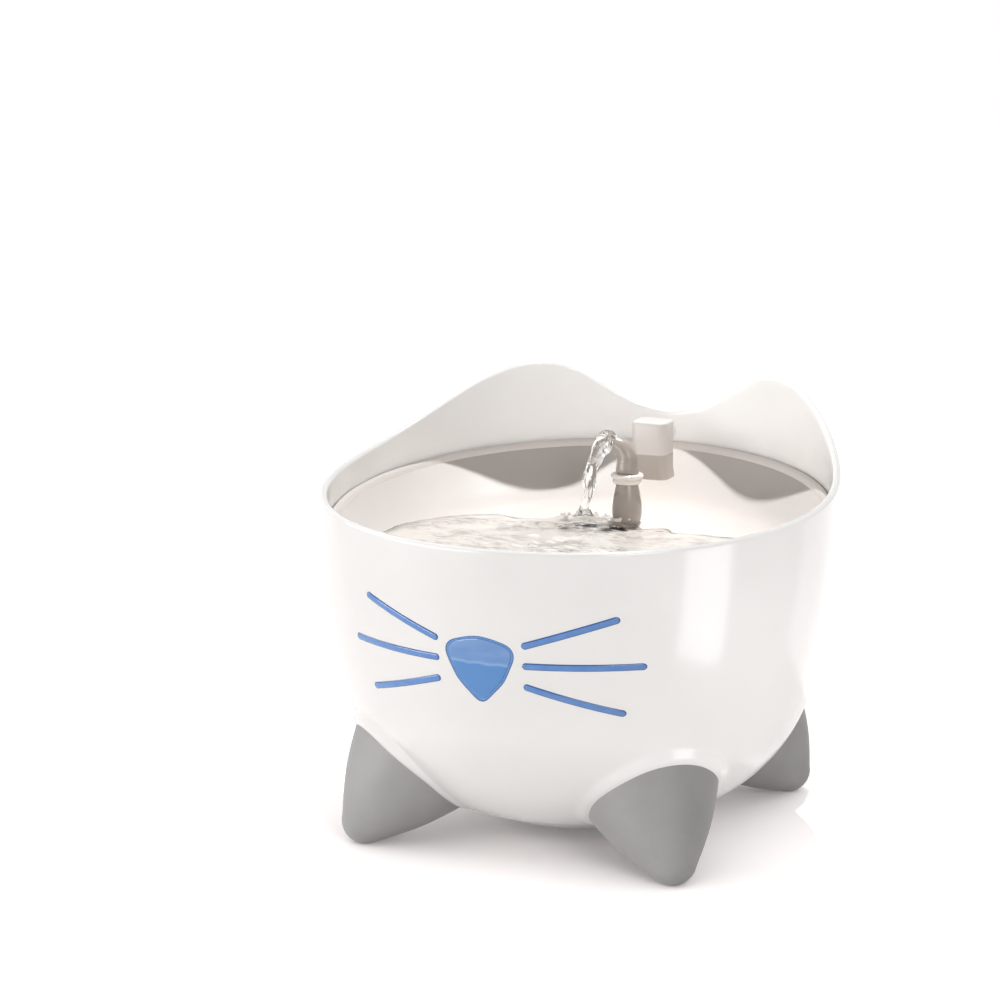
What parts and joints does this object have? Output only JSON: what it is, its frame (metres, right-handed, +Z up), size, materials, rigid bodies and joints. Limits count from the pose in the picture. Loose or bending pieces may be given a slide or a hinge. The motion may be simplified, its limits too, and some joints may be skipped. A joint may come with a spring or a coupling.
{
  "type": "pet water fountain",
  "caption": "Bowl-shaped pet water fountain with ears, tapered feet, a cat-face front with a level window, a tilted drinking tray and a swivelling spout.",
  "frame": {"origin": "on the floor, under the middle of the bowl", "axes": "+Z up, -Y towards the face with the level window, +X to the bowl's own left"},
  "size_m": [0.22, 0.22, 0.1816],
  "materials": {
    "shell": "gloss white moulded plastic",
    "tray": "satin off-white moulded plastic",
    "foot_rubber": "soft-touch mid grey rubber",
    "window": "translucent blue plastic",
    "whisker": "blue moulded inlay",
    "warm_plastic": "satin warm grey plastic",
    "hood_plastic": "satin light warm grey plastic",
    "collar_plastic": "milky gloss plastic",
    "seal_rubber": "dark moulded rubber",
    "cup_rubber": "milky soft rubber",
    "riser": "milky translucent tube",
    "pump_plastic": "black moulded plastic",
    "potting": "black cast resin",
    "core_steel": "laminated steel",
    "coil_copper": "enamelled copper wire",
    "magnet": "dull ferrite",
    "shaft_ceramic": "polished ceramic",
    "carbon": "black granular carbon",
    "foam": "open white filter foam"
  },
  "bodies": {
    "reservoir": {"reservoir_shell": "shell", "foot_front_left": "foot_rubber", "foot_front_right": "foot_rubber", "foot_rear_left": "foot_rubber", "foot_rear_right": "foot_rubber", "nose_window": "window", "nose_gasket": "seal_rubber", "nose_retainer": "shell", "whisker_upper_left": "whisker", "whisker_middle_left": "whisker", "whisker_lower_left": "whisker", "whisker_upper_right": "whisker", "whisker_middle_right": "whisker", "whisker_lower_right": "whisker", "cable_grommet": "seal_rubber"},
    "pump": {"pump_housing": "pump_plastic", "potting_cap": "potting", "stator_core": "core_steel", "stator_coils": "coil_copper", "impeller_shaft": "shaft_ceramic", "shaft_bushings": "seal_rubber", "pump_seal": "seal_rubber", "suction_cups": "cup_rubber", "cable_gland": "seal_rubber", "riser_tube": "riser"},
    "impeller": {"impeller": "shell", "rotor_magnet": "magnet"},
    "pump_cover": {"pump_cover": "pump_plastic"},
    "flow_slider": {"flow_slider": "warm_plastic"},
    "tray": {"drinking_tray": "tray", "rear_hood_base": "warm_plastic", "rear_hood_cap": "hood_plastic", "filter_basket": "warm_plastic"},
    "cartridge": {"filter_frame": "shell", "filter_media": "carbon", "filter_foam": "foam"},
    "grate": {"drain_grate": "tray"},
    "spout": {"spout_base": "warm_plastic", "spout_collar": "collar_plastic"},
    "nozzle": {"spout_nozzle": "warm_plastic", "spout_seal": "seal_rubber"}
  },
  "joints": [
    {"name": "pump_lift", "type": "slide", "parent": "reservoir", "child": "pump", "axis": [0, 0, 1], "range_m": [0, 0.16]},
    {"name": "tray_lift", "type": "slide", "parent": "pump", "child": "tray", "axis": [0, 0, 1], "range_m": [0, 0.11]},
    {"name": "spout_lift", "type": "slide", "parent": "tray", "child": "spout", "axis": [0, 0, 1], "range_m": [0, 0.075]},
    {"name": "spout_swivel", "type": "hinge", "parent": "spout", "child": "nozzle", "pos_m": [0, 0.057, 0.141], "axis": [0, 0, 1], "continuous": true},
    {"name": "cartridge_lift", "type": "slide", "parent": "tray", "child": "cartridge", "axis": [0, 0, 1], "range_m": [0, 0.1]},
    {"name": "grate_lift", "type": "slide", "parent": "cartridge", "child": "grate", "axis": [0, 0, 1], "range_m": [0, 0.07]},
    {"name": "impeller_spin", "type": "hinge", "parent": "pump", "child": "impeller", "pos_m": [0, 0.057, 0.048], "axis": [0, 1, 0], "continuous": true},
    {"name": "cover_slide", "type": "slide", "parent": "pump", "child": "pump_cover", "axis": [0, 1, 0], "range_m": [0, 0.009]},
    {"name": "flow_slide", "type": "slide", "parent": "pump_cover", "child": "flow_slider", "axis": [1, 0, 0], "range_m": [0, 0.012]}
  ]
}
